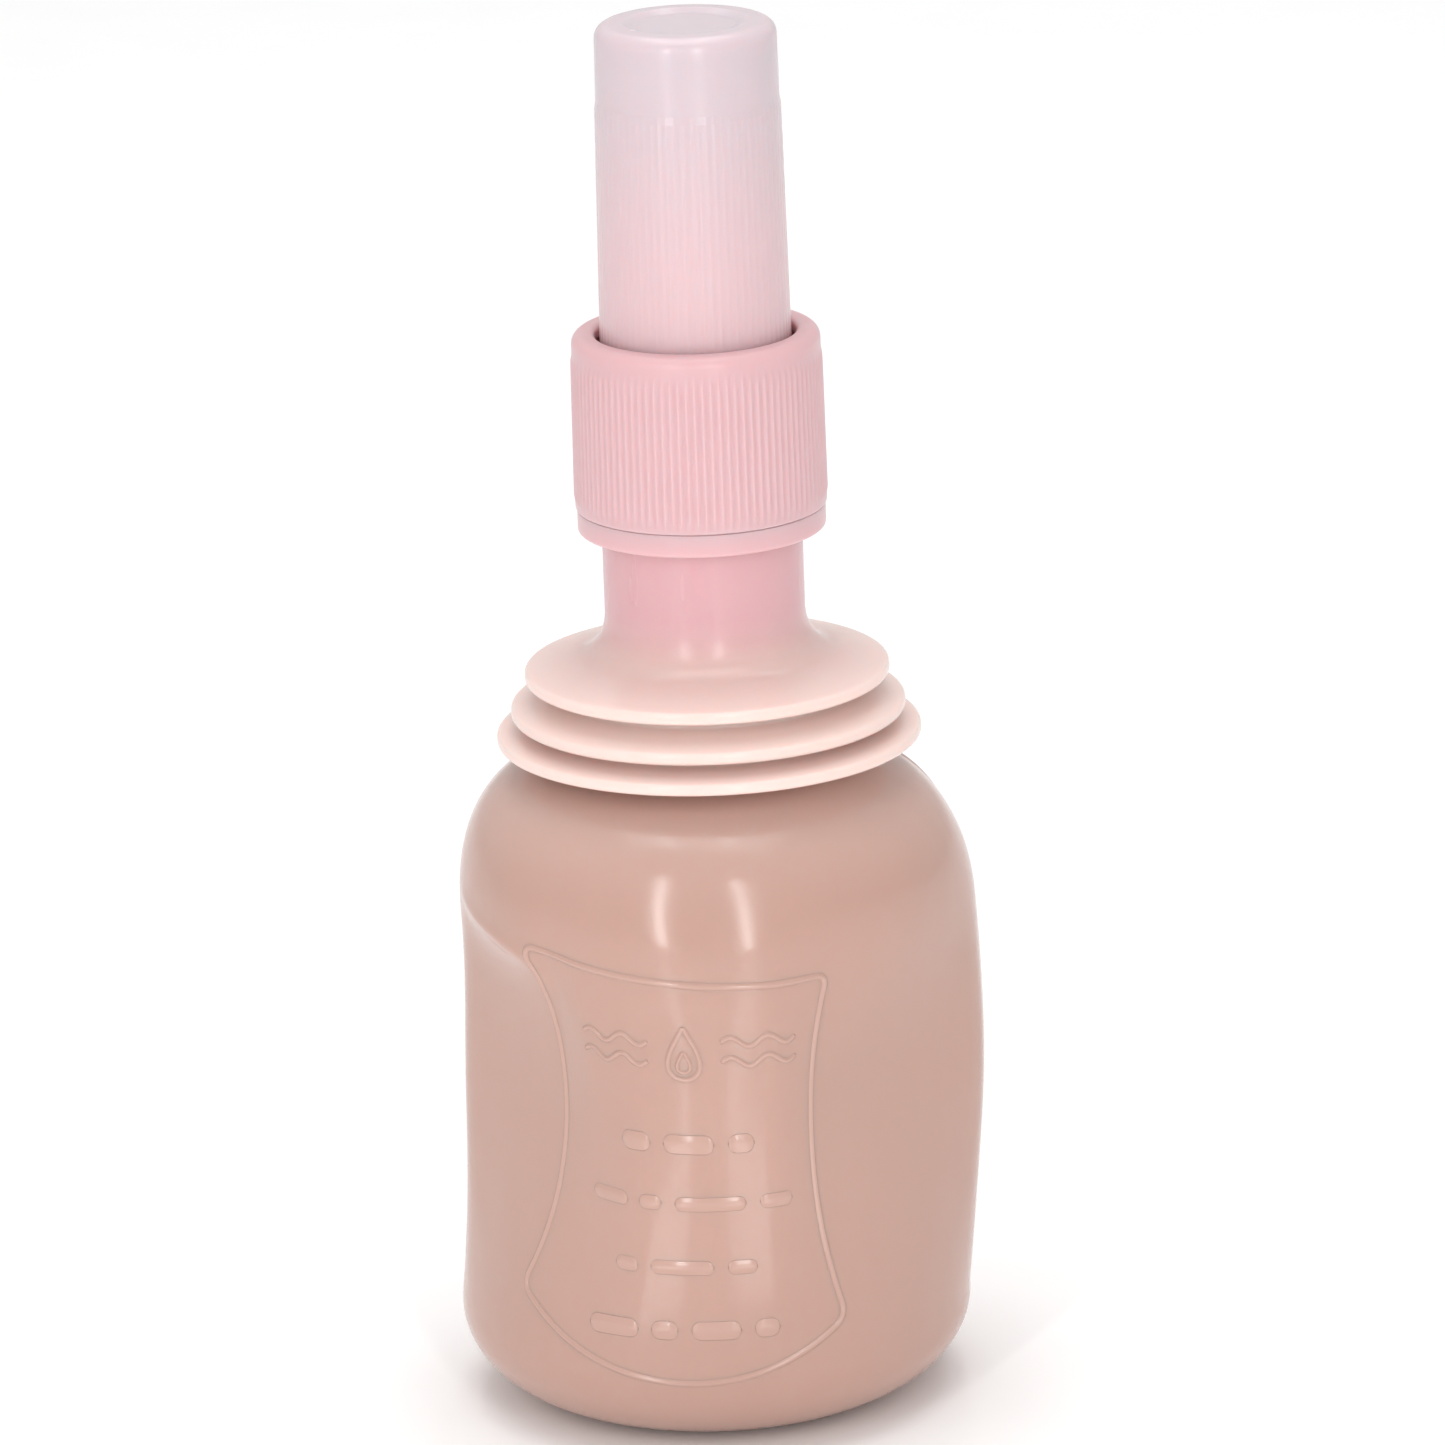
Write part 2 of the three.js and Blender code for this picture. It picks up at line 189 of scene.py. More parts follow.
def rounded_outline(corners, closed=True, steps=6):
    """Outline through (radius, height, fillet) corners. A corner with a fillet becomes the circular arc
    that touches both of its sides; its centre lies on the line that halves the corner's angle. A corner
    whose sides run straight on stays as it is."""
    points = []
    last = len(corners) - 1
    for i, (r, z, fillet) in enumerate(corners):
        here = np.array([r, z])
        if fillet == 0 or (not closed and i in (0, last)):
            points.append(here)
            continue
        back = np.array(corners[i - 1][:2]) - here
        on = np.array(corners[(i + 1) % len(corners)][:2]) - here
        back_length, on_length = np.linalg.norm(back), np.linalg.norm(on)
        back, on = back / back_length, on / on_length
        half = math.acos(np.clip(back @ on, -1, 1)) / 2
        if half > math.radians(89.9):
            points.append(here)
            continue
        reach = min(fillet / math.tan(half), 0.49 * back_length, 0.49 * on_length)
        middle = (back + on) / np.linalg.norm(back + on)
        centre = here + middle * reach / math.cos(half)
        first, second = here + back * reach - centre, here + on * reach - centre
        swing = math.pi - 2 * half
        for t in np.linspace(0, 1, steps + 1):
            points.append(centre + (math.sin((1 - t) * swing) * first + math.sin(t * swing) * second)
                          / math.sin(swing))
    return np.array(points)


def densified(outline, spacing, closed=True):
    """The same outline with every side cut into pieces no longer than spacing."""
    ends = np.vstack([outline, outline[:1]]) if closed else outline
    pieces = []
    for start, end in zip(ends[:-1], ends[1:]):
        cuts = max(1, math.ceil(np.linalg.norm(end - start) / spacing))
        pieces.append(start + (end - start) * np.arange(cuts)[:, None] / cuts)
    if not closed:
        pieces.append(ends[-1:])
    return np.vstack(pieces)


def turned_grid(outline, columns, ripple=None):
    """Grid of an outline turned about Z: x is r sin(a), y is -r cos(a), so azimuth 0 faces -Y.
    ripple(a, r, z) gives what is added to the radius."""
    azimuth = np.linspace(0, 2 * math.pi, columns, endpoint=False)[None, :]
    r, z = outline[:, :1], outline[:, 1:]
    if ripple is not None:
        r = r + ripple(azimuth, r, z)
    height = z + np.zeros_like(azimuth)
    return np.stack([r * np.sin(azimuth), -r * np.cos(azimuth), height], axis=-1)


def grid_quads(rows, columns, wrap_rows, wrap_columns):
    """Corner numbers of the quads between the rows and the columns of a grid."""
    index = np.arange(rows * columns).reshape(rows, columns)
    if wrap_rows:
        index = np.vstack([index, index[:1]])
    if wrap_columns:
        index = np.hstack([index, index[:, :1]])
    corners = [index[:-1, :-1], index[:-1, 1:], index[1:, 1:], index[1:, :-1]]
    return np.stack(corners, axis=-1).reshape(-1, 4)


def mesh_of(name, grids, wrap_rows=True, wrap_columns=True, closed=True):
    """Mesh of one or more grids. Points that coincide, as at a pole, are merged, and a closed mesh gets
    its faces turned outwards. The rims of an open mesh are sharp edges."""
    points, quads, used = [], [], 0
    for grid in grids:
        rows, columns = grid.shape[:2]
        points.append(grid.reshape(-1, 3))
        quads.append(grid_quads(rows, columns, wrap_rows, wrap_columns) + used)
        used += rows * columns
    mesh = bpy.data.meshes.new(name)
    mesh.from_pydata(np.vstack(points), [], np.vstack(quads))
    work = bmesh.new()
    work.from_mesh(mesh)
    bmesh.ops.remove_doubles(work, verts=work.verts, dist=1e-7)
    if closed:
        bmesh.ops.recalc_face_normals(work, faces=work.faces)
    for edge in work.edges:
        edge.smooth = not edge.is_boundary
    work.to_mesh(mesh)
    work.free()
    mesh.shade_smooth()
    return mesh


def add_piece(name, mesh, material):
    """Object of a mesh. Every point keeps its moulded height as an attribute, so that the colours, which
    run up the bottle, stay on the plastic when it stretches."""
    places = np.empty(3 * len(mesh.vertices), dtype=np.float32)
    mesh.vertices.foreach_get("co", places)
    mesh.attributes.new("moulded_height", "FLOAT", "POINT").data.foreach_set("value", places[2::3])
    piece = bpy.data.objects.new(name, mesh)
    bpy.context.scene.collection.objects.link(piece)
    mesh.materials.append(material)
    return piece


def turned_piece(name, corners, material, columns=160, spacing=1.5 * MM, closed=True, steps=6,
                 ripple=None):
    """Piece turned about Z from rounded corners. A closed outline makes a ring; an open one starts and
    ends on the axis."""
    outline = densified(rounded_outline(corners, closed, steps), spacing, closed)
    grid = turned_grid(outline, columns, ripple)
    return add_piece(name, mesh_of(name, [grid], wrap_rows=closed), material)


def unit(vectors):
    """The same vectors, one long."""
    return vectors / np.linalg.norm(vectors, axis=-1, keepdims=True)


def swept_grid(path, outward, half_width, half_height, closed=False, sides=16, soft_foot=False):
    """Grid of a section swept along a path: path plus cos(v) half_width across plus half_height outward
    times sin(v), which makes an ellipse, or times sin(v) cubed, which runs out softly at its foot. An open
    path closes to a point at each end along a quarter circle."""
    along = np.roll(path, -1, axis=0) - np.roll(path, 1, axis=0) if closed else np.gradient(path, axis=0)
    across = unit(np.cross(along, outward))
    outward = unit(np.cross(across, along))
    size = np.ones(len(path))
    if not closed:
        steps = np.linalg.norm(np.diff(path, axis=0), axis=1)
        walked = np.concatenate([[0], np.cumsum(steps)])
        from_end = np.minimum(walked, walked[-1] - walked) / half_width
        size = np.sqrt(np.clip(1 - (1 - np.minimum(from_end, 1)) ** 2, 0, 1))
    v = np.linspace(0, 2 * math.pi, sides, endpoint=False)[None, :, None]
    size = size[:, None, None]
    rise = np.sin(v) ** 3 if soft_foot else np.sin(v)
    return (path[:, None, :] + np.cos(v) * half_width * size * across[:, None, :]
            + rise * half_height * size * outward[:, None, :])


def swept_piece(name, grids, material, closed=False):
    """Piece made of one or more swept strokes."""
    return add_piece(name, mesh_of(name, grids, wrap_rows=closed), material)


def helix(radius, bottom, pitch, turns, count=240):
    """Path of a right-hand helix, and its outward directions."""
    angle = np.linspace(0, 2 * math.pi * turns, count)
    outward = np.stack([np.cos(angle), np.sin(angle), np.zeros(count)], axis=-1)
    path = radius * outward
    path[:, 2] = bottom + pitch * angle / (2 * math.pi)
    return path, outward


def in_mm(corners):
    """Corners given in millimetres, as metres."""
    return [tuple(value * MM for value in corner) for corner in corners]


# ---------------------------------------------------------------------------------------------------------
# Shape of the body
# ---------------------------------------------------------------------------------------------------------

FULLNESS = 2.25
RIDGE = math.radians(4)
RIDGE_SPREAD = math.radians(9)
LEFT_FLANK = math.radians(-43)
RIGHT_FLANK = math.radians(55)
FLANK_BLEND = 1.2 * MM
CREASE_AZIMUTHS = np.radians([-90, -81, -33, -25, -8])
CREASE_HEIGHTS = np.array([55, 54.6, 50.4, 45, 40]) * MM
BELLY_HEIGHT = 34 * MM
BOW_HEIGHT = 42 * MM


def superellipse(centre, reach, rise, start, end, count, fullness):
    """Quarter curve: r is centre plus reach times cos^(2/fullness), z is rise times sin^(2/fullness)."""
    angle = np.radians(np.linspace(start, end, count))
    return np.stack([centre + reach * np.cos(angle) ** (2 / fullness),
                     rise * np.sin(angle) ** (2 / fullness)], axis=-1)


def body_outline(body):
    """Outline of the undented body from the middle of its base to its mouth."""
    ring = body.radius - body.base_corner
    push_up = rounded_outline(in_mm([(0, 1.2, 0), (6.8, 1.2, 2), (9.2, 0, 1)])
                              + [(ring, 0, 0)], closed=False)
    corner = superellipse(ring, body.base_corner, body.base_height, 0, 90, 30, 2)
    corner = np.stack([corner[::-1, 0], body.base_height - corner[::-1, 1]], axis=-1)
    crown = body.radius - body.shoulder_reach
    shoulder = superellipse(crown, body.shoulder_reach, body.shoulder_rise, 0, 90, 90, FULLNESS)
    shoulder[:, 1] += body.shoulder_start
    shoulder = shoulder[shoulder[:, 0] > body.mouth]
    return densified(np.vstack([push_up, corner, shoulder]), 0.7 * MM, closed=False)


def sunken_flank(azimuth, r, normal, depth):
    """How far a flat flank lies inside the round wall: the wall's radius less the smooth minimum of it and
    of the chord, whose radius is (r - depth) over the cosine of the turn away from the flank's normal."""
    cosine = np.maximum(np.cos(azimuth - normal), 0.3)
    return r - smooth_minimum(r, (r - depth) / cosine, FLANK_BLEND)


def left_flank_share(azimuth, z):
    """How fully the left flank has sunk in: 1 - exp(-d / 6 mm) at the depth d below the crease. d starts
    with a rounded ramp, which is short at the side, where the crease is sharp, and long towards the
    ridge."""
    crease = np.interp(azimuth, CREASE_AZIMUTHS, CREASE_HEIGHTS)
    ramp = (0.4 + 3.6 * smooth_step((azimuth - math.radians(-42)) / math.radians(16))) * MM
    below = np.logaddexp(0, (crease - z) / ramp) * ramp
    return 1 - np.exp(-below / (6 * MM))


def fold_share(azimuth, z):
    """How fully the crease stands out: a bell curve across it, faded out at its two ends."""
    crease = np.interp(azimuth, CREASE_AZIMUTHS, CREASE_HEIGHTS)
    front_end = smooth_step((math.radians(-32) - azimuth) / 0.2)
    side_end = smooth_step((azimuth + math.radians(80)) / 0.35)
    return np.exp(-((z - crease) / (0.9 * MM)) ** 2) * front_end * side_end


def sideways_bow(body, r, z):
    """How far the body bows sideways: a parabola about its middle, steeper above than below, which is gone
    where the shoulder meets the bellows."""
    from_middle = np.maximum(z, 10 * MM) - BOW_HEIGHT
    shift = body.bow - np.where(from_middle < 0, 1.7, 3.0) * from_middle ** 2
    at_mouth = (z > body.shoulder_start) * smooth_step(1 - (r - body.mouth) / (5 * MM))
    return shift * (1 - at_mouth)


def body_surface(body, azimuth, r, z):
    """Point of the body's outer face at an azimuth, for the undented radius r at height z. The two flanks
    beside the front ridge are sunk in, the ridge is pinched, the middle bulges, and the whole body bows
    sideways."""
    above_foot = smooth_step((z - 4 * MM) / (34 * MM))
    left = left_flank_share(azimuth, z) * above_foot
    right = smooth_step((59 * MM - z) / (22 * MM)) * above_foot
    sunk = left * sunken_flank(azimuth, r, LEFT_FLANK, body.left_depth)
    sunk = sunk + right * sunken_flank(azimuth, r, RIGHT_FLANK, body.right_depth)
    pinch = body.pinch * np.exp(-((azimuth - RIDGE) / RIDGE_SPREAD) ** 2) * right
    belly = body.belly * np.exp(-((z - BELLY_HEIGHT) / (11 * MM)) ** 2)
    fold = body.fold * fold_share(azimuth, z)
    on_wall = smooth_step(r / body.radius * 2 - 1)
    dented = r + (pinch + belly + fold - sunk) * on_wall
    across = dented * np.sin(azimuth) + sideways_bow(body, r, z)
    return np.stack([across, -dented * np.cos(azimuth), z * np.ones_like(azimuth)], axis=-1)


def wall_radius(body, z):
    """Radius of the undented wall at a height."""
    outline = body_outline(body)
    rising = outline[:, 1] > 0.1 * MM
    keep = rising & (outline[:, 0] > body.radius - body.base_corner)
    return np.interp(z, outline[keep, 1], outline[keep, 0])


def on_body(body, chart):
    """Points of the body's outer face, and its outward normals, under a path drawn in a flat chart: across
    is the arc length round the front of the body, up is the height."""
    azimuth, z = chart[:, 0] / body.radius, chart[:, 1]
    small = 1e-3

    def surface(a, h):
        return body_surface(body, a, wall_radius(body, h), h)

    path = surface(azimuth, z)
    round_body = surface(azimuth + small, z) - surface(azimuth - small, z)
    up_body = surface(azimuth, z + small * MM) - surface(azimuth, z - small * MM)
    return path, unit(np.cross(round_body, up_body))


def evenly(chart, spacing, closed=False):
    """The same path with points at even distances."""
    if closed:
        chart = np.vstack([chart, chart[:1]])
    walked = np.concatenate([[0], np.cumsum(np.linalg.norm(np.diff(chart, axis=0), axis=1))])
    count = max(8, int(walked[-1] / spacing))
    places = np.linspace(0, walked[-1], count, endpoint=not closed)
    across = np.interp(places, walked, chart[:, 0])
    up = np.interp(places, walked, chart[:, 1])
    return np.stack([across, up], axis=-1)


def curve_through(start, middle, end, count=60):
    """Quadratic curve from start to end that passes through the middle point halfway."""
    start, middle, end = np.array(start), np.array(middle), np.array(end)
    control = 2 * middle - (start + end) / 2
    t = np.linspace(0, 1, count, endpoint=False)[:, None]
    return (1 - t) ** 2 * start + 2 * t * (1 - t) * control + t ** 2 * end


def softened(chart, reach, spacing):
    """A closed path with its corners rounded: a running mean over the reach."""
    near = int(reach / spacing)
    return sum(np.roll(chart, shift, axis=0) for shift in range(-near, near + 1)) / (2 * near + 1)


# ---------------------------------------------------------------------------------------------------------
# Materials
# ---------------------------------------------------------------------------------------------------------

def node(tree, kind, place, **values):
    """New shader node at a place; values set its properties."""
    made = tree.nodes.new(kind)
    made.location = place
    for key, value in values.items():
        setattr(made, key, value)
    return made


def noise(tree, vector, scale, detail, place):
    """Output of a new noise texture over a vector."""
    made = node(tree, "ShaderNodeTexNoise", place)
    tree.links.new(vector, made.inputs["Vector"])
    made.inputs["Scale"].default_value = scale
    made.inputs["Detail"].default_value = detail
    return made.outputs["Fac"]


def math_node(tree, operation, place, first, second=None, third=None):
    """Output of a new maths node; each input is a number or another node's output."""
    made = node(tree, "ShaderNodeMath", place, operation=operation)
    for socket, value in zip(made.inputs, (first, second, third)):
        if value is None:
            continue
        if isinstance(value, (int, float)):
            socket.default_value = value
        else:
            tree.links.new(value, socket)
    return made.outputs[0]


def moulded_grain_group():
    """Node group for moulded soft plastic: mottled colour, uneven gloss and a height made of a fine grain,
    flow lines that run up the part, and a slow waviness."""
    name = "Moulded grain"
    found = bpy.data.node_groups.get(name)
    if found is not None:
        return found
    group = bpy.data.node_groups.new(name, "ShaderNodeTree")
    sockets = [("Place", "NodeSocketVector", None), ("Colour", "NodeSocketColor", (0.8, 0.8, 0.8, 1)),
               ("Deep colour", "NodeSocketColor", (0.6, 0.6, 0.6, 1)), ("Mottle", "NodeSocketFloat", 0.3),
               ("Gloss roughness", "NodeSocketFloat", 0.3), ("Flow", "NodeSocketFloat", 0.5),
               ("Grain", "NodeSocketFloat", 0.5)]
    for label, kind, default in sockets:
        socket = group.interface.new_socket(name=label, in_out="INPUT", socket_type=kind)
        if default is not None:
            socket.default_value = default
    for label, kind in [("Colour", "NodeSocketColor"), ("Roughness", "NodeSocketFloat"),
                        ("Height", "NodeSocketFloat")]:
        group.interface.new_socket(name=label, in_out="OUTPUT", socket_type=kind)
    source = node(group, "NodeGroupInput", (-900, 0))
    out = node(group, "NodeGroupOutput", (700, 0))
    place = source.outputs["Place"]
    along = node(group, "ShaderNodeMapping", (-700, -200))
    along.inputs["Scale"].default_value = (1, 1, 0.06)
    group.links.new(place, along.inputs["Vector"])
    clouds = noise(group, place, 55, 3, (-450, 300))
    streaks = noise(group, along.outputs["Vector"], 420, 3, (-450, 50))
    grain = noise(group, place, 2600, 2, (-450, -200))
    waves = noise(group, place, 130, 1, (-450, -450))
    patches = math_node(group, "MULTIPLY_ADD", (-200, 300), clouds, 1.6, -0.3)
    mixed = math_node(group, "MULTIPLY_ADD", (-20, 200), streaks, 0.35, patches)
    share = math_node(group, "MULTIPLY", (150, 200), mixed, source.outputs["Mottle"])
    blend = node(group, "ShaderNodeMix", (330, 250), data_type="RGBA", clamp_factor=True)
    group.links.new(share, blend.inputs["Factor"])
    group.links.new(source.outputs["Colour"], blend.inputs["A"])
    group.links.new(source.outputs["Deep colour"], blend.inputs["B"])
    group.links.new(blend.outputs["Result"], out.inputs["Colour"])
    uneven = math_node(group, "MULTIPLY_ADD", (-200, 0), clouds, 0.16, source.outputs["Gloss roughness"])
    gloss = math_node(group, "MULTIPLY_ADD", (0, 0), streaks, 0.1, uneven)
    group.links.new(math_node(group, "SUBTRACT", (200, 0), gloss, 0.13), out.inputs["Roughness"])
    flow = math_node(group, "MULTIPLY", (-200, -150), streaks, source.outputs["Flow"])
    with_grain = math_node(group, "MULTIPLY", (-200, -300), grain, source.outputs["Grain"])
    height = math_node(group, "ADD", (0, -200), flow, with_grain)
    total = math_node(group, "MULTIPLY_ADD", (200, -200), waves, 0.5, height)
    group.links.new(total, out.inputs["Height"])
    return group


def soft_plastic(name, stops, roughness=0.32, translucency=0.6, depth=2.5 * MM, mottle=0.25,
                 flow=0.5, grain=0.35, bump=0.05, tint=(1.0, 0.56, 0.50)):
    """Translucent moulded plastic. stops are (height, colour) pairs up the part, depth is how far light
    travels in it, and its mottling is a deeper shade of the same colour."""
    material = bpy.data.materials.new(name)
    material.use_nodes = True
    tree = material.node_tree
    shader = tree.nodes["Principled BSDF"]
    where = node(tree, "ShaderNodeTexCoord", (-1300, 0)).outputs["Object"]
    moulded = node(tree, "ShaderNodeAttribute", (-1100, 200), attribute_name="moulded_height")
    low, high = stops[0][0], stops[-1][0]
    span = node(tree, "ShaderNodeMapRange", (-900, 200))
    span.inputs["From Min"].default_value = low
    span.inputs["From Max"].default_value = high
    tree.links.new(moulded.outputs["Fac"], span.inputs["Value"])
    ramp = node(tree, "ShaderNodeValToRGB", (-700, 200))
    ramp.color_ramp.interpolation = "EASE"
    tree.links.new(span.outputs["Result"], ramp.inputs["Fac"])
    elements = ramp.color_ramp.elements
    while len(elements) < len(stops):
        elements.new(0.5)
    for element, (stop, value) in zip(elements, stops):
        element.position = (stop - low) / (high - low)
        element.color = (*value, 1)
    group = node(tree, "ShaderNodeGroup", (-400, 100), node_tree=moulded_grain_group())
    tree.links.new(where, group.inputs["Place"])
    tree.links.new(ramp.outputs["Color"], group.inputs["Colour"])
    deeper = node(tree, "ShaderNodeMix", (-560, -60), data_type="RGBA", blend_type="MULTIPLY")
    deeper.inputs["Factor"].default_value = 1
    deeper.inputs["B"].default_value = (0.88, 0.84, 0.82, 1)
    tree.links.new(ramp.outputs["Color"], deeper.inputs["A"])
    tree.links.new(deeper.outputs["Result"], group.inputs["Deep colour"])
    group.inputs["Mottle"].default_value = mottle
    group.inputs["Gloss roughness"].default_value = roughness
    group.inputs["Flow"].default_value = flow
    group.inputs["Grain"].default_value = grain
    relief = node(tree, "ShaderNodeBump", (-150, -250))
    relief.inputs["Strength"].default_value = bump
    relief.inputs["Distance"].default_value = 0.3 * MM
    tree.links.new(group.outputs["Height"], relief.inputs["Height"])
    tree.links.new(group.outputs["Colour"], shader.inputs["Base Color"])
    tree.links.new(group.outputs["Roughness"], shader.inputs["Roughness"])
    tree.links.new(relief.outputs["Normal"], shader.inputs["Normal"])
    shader.inputs["IOR"].default_value = 1.5
    shader.inputs["Subsurface Weight"].default_value = translucency
    shader.inputs["Subsurface Radius"].default_value = tint
    shader.inputs["Subsurface Scale"].default_value = depth
    return material


def finish_named(slot, relief=False):
    """The finish of one record slot, made the first time it is asked for. Relief on a skin lets no light
    into itself, because the skin under it already does."""
    name = "moulded " + slot + (" relief" if relief else "")
    found = bpy.data.materials.get(name)
    if found is not None:
        return found
    finish = bpy.context.scene.bottle_finish
    body, shoulder, folds = tuple(finish.body), tuple(finish.shoulder), tuple(finish.folds)
    neck, collar, nozzle = tuple(finish.neck), tuple(finish.collar), tuple(finish.nozzle)
    cap_low, cap_high, seal = tuple(finish.cap_low), tuple(finish.cap_high), tuple(finish.seal)
    if slot == "body_plastic":
        stops = [(0.0, body), (0.056, body), (0.068, shoulder)]
        return soft_plastic(name, stops, roughness=0.16, depth=1.6 * MM, translucency=0 if relief else 0.6)
    if slot == "bellows_plastic":
        # The folds' stop is partly the plastic's colour and partly painted light shining through the thin
        # folds.
        stops = [(0.066, shoulder), (0.0685, folds), (0.0757, folds), (0.0775, tuple(finish.flange)),
                 (0.083, neck), (0.1, neck)]
        return soft_plastic(name, stops, roughness=0.24, translucency=0.8, depth=1.8 * MM)
    if slot == "neck_plastic":
        return soft_plastic(name, [(0.09, neck), (0.1, neck)], roughness=0.24)
    if slot == "collar_plastic":
        return soft_plastic(name, [(0.090, collar), (0.110, collar)], roughness=0.32, translucency=0.8,
                            depth=1.8 * MM, mottle=0.1)
    if slot == "cap_plastic":
        stops = [(0.103, cap_low), (0.114, cap_low), (0.141, cap_high)]
        return soft_plastic(name, stops, roughness=0.24, translucency=0.8, depth=2.2 * MM, mottle=0.12)
    if slot == "seal_rubber":
        return soft_plastic(name, [(0.09, seal), (0.102, seal)], roughness=0.6, translucency=0.1, bump=0.2)
    return soft_plastic(name, [(0.0, nozzle), (0.14, nozzle)], roughness=0.25, flow=0.3)


# ---------------------------------------------------------------------------------------------------------
# Operators
# ---------------------------------------------------------------------------------------------------------

class PieceOperator:
    """What every operator of the bottle shares."""

    bl_options = {"REGISTER", "UNDO"}


class BOTTLE_OT_body(PieceOperator, bpy.types.Operator):
    """Front and back skin of the body. They meet at the two parting lines towards the back"""

    bl_idname = "bottle.body"
    bl_label = "Body skins"

    def execute(self, context):
        body = context.scene.bottle_body
        outline = body_outline(body)
        seam = body.seam
        for name, panel, start, end in (("front", "front_wall", -seam, seam),
                                        ("back", "back_wall", seam, 2 * math.pi - seam)):
            azimuth = np.linspace(start, end, int(math.degrees(end - start) / 1.1) + 1)[None, :]
            wrapped = np.mod(azimuth + math.pi, 2 * math.pi) - math.pi
            grid = body_surface(body, wrapped, outline[:, :1], outline[:, 1:])
            mesh = mesh_of("body_skin_" + name, [grid], wrap_rows=False, wrap_columns=False, closed=False)
            piece = add_piece("body_skin_" + name, mesh, finish_named("body_plastic"))
            wall = piece.modifiers.new("Wall", "SOLIDIFY")
            wall.thickness = body.wall
            wall.offset = -1
            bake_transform(piece)
            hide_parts("squeeze_wall_" + name, *(["bottle_body"] if name == "front" else []))
        ridges = [self.parting_ridge(body, side * seam) for side in (-1, 1)]
        piece = swept_piece("parting_ridges", ridges, finish_named("body_plastic", relief=True))
        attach(piece, "bottle")
        return {"FINISHED"}

    @staticmethod
    def parting_ridge(body, azimuth):
        """Slim raised stroke over a parting line, from the base corner to the bellows."""
        heights = np.linspace(1.0, 65.0, 260) * MM
        chart = np.stack([np.full(len(heights), azimuth * body.radius), heights], axis=-1)
        path, outward = on_body(body, chart)
        return swept_grid(path, outward, 0.45 * MM, 0.12 * MM, soft_foot=True)


class BOTTLE_OT_label(PieceOperator, bpy.types.Operator):
    """Raised hourglass outline of the label, with plain signs and dashes where others carry a text"""

    bl_idname = "bottle.label"
    bl_label = "Label relief"

    def execute(self, context):
        body = context.scene.bottle_body
        label = context.scene.bottle_label
        spacing = 0.3 * MM

        def stroke(chart, half_width, height, closed=False):
            path, outward = on_body(body, chart if closed else evenly(chart, 0.15 * MM))
            return swept_grid(path, outward, half_width, height, closed, soft_foot=True)

        outline = softened(evenly(label_outline(label), spacing, closed=True), 1.6 * MM, spacing)
        edge = stroke(outline, label.line / 2, label.rise, closed=True)
        strokes = [stroke(chart, half_width, label.rise * 0.8)
                   for chart, half_width in [*sign_row(label), *dash_rows(label)]]
        for name, grids, closed in (("label_outline", [edge], True), ("label_relief", strokes, False)):
            piece = swept_piece(name, grids, finish_named("body_plastic", relief=True), closed)
            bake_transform(piece)
        return {"FINISHED"}


def label_outline(label):
    """Corner to corner around the hourglass: top, right side, bottom and left side."""
    half, foot = label.top_width / 2, label.foot_width / 2
    top, low = label.top, label.corner_height
    side, middle = (half + foot) / 2 - label.waist, (top + low) / 2
    reach = label.left_reach
    left = ((-half - reach, top + 1.8 * MM), (-side - reach, middle), (-foot - reach, low + 2 * MM))
    right = ((half, top - 0.5 * MM), (side, middle), (foot, low))
    return np.vstack([curve_through(left[0], (0, top - 0.2 * MM), right[0]),
                      curve_through(*right),
                      curve_through(right[2], (0, label.bottom), left[2]),
                      curve_through(*left[::-1])])


def drop_chart(centre, height):
    """Outline of a drop: a circle drawn out to a point at the top."""
    t = np.linspace(0, 2 * math.pi, 60)
    across = np.sin(t) * np.sin(t / 2) ** 1.5
    return np.stack([centre[0] + 0.42 * height * across, centre[1] + 0.5 * height * np.cos(t)], axis=-1)


def wave_chart(centre, length, height):
    """Two waves of a sine."""
    t = np.linspace(-1, 1, 60)
    return np.stack([centre[0] + t * length / 2, centre[1] + height * np.sin(2 * math.pi * t)], axis=-1)


def sign_row(label):
    """Large row at the top of the label: a drop between pairs of waves."""
    z, thin = label.sign_height, 0.26 * MM
    yield drop_chart((0, z), 5.4 * MM), thin
    yield drop_chart((0, z - 0.9 * MM), 2.2 * MM), thin * 0.8
    for side in (-1, 1):
        for step in (-1, 1):
            yield wave_chart((side * 7.4 * MM, z + step * 1.0 * MM), 7.6 * MM, 0.5 * MM), thin


def dash_rows(label):
    """Rows of rounded dashes. Each row has a height, a thickness and the lengths of its dashes."""
    rows = [(34.2, 2.0, (3.2, 5.0, 2.6)), (27.9, 1.5, (4.6, 2.4, 7.0, 3.4)), (21.1, 1.5, (2.6, 6.4, 3.0)),
            (14.4, 2.0, (5.6, 2.8, 5.0, 2.6))]
    gap = 1.3
    for z, thick, lengths in rows:
        place = -(sum(lengths) + gap * (len(lengths) - 1)) / 2
        for dash in lengths:
            ends = np.array([(place, z), (place + dash, z)]) * MM
            yield ends, thick / 2 * MM
            place += dash + gap


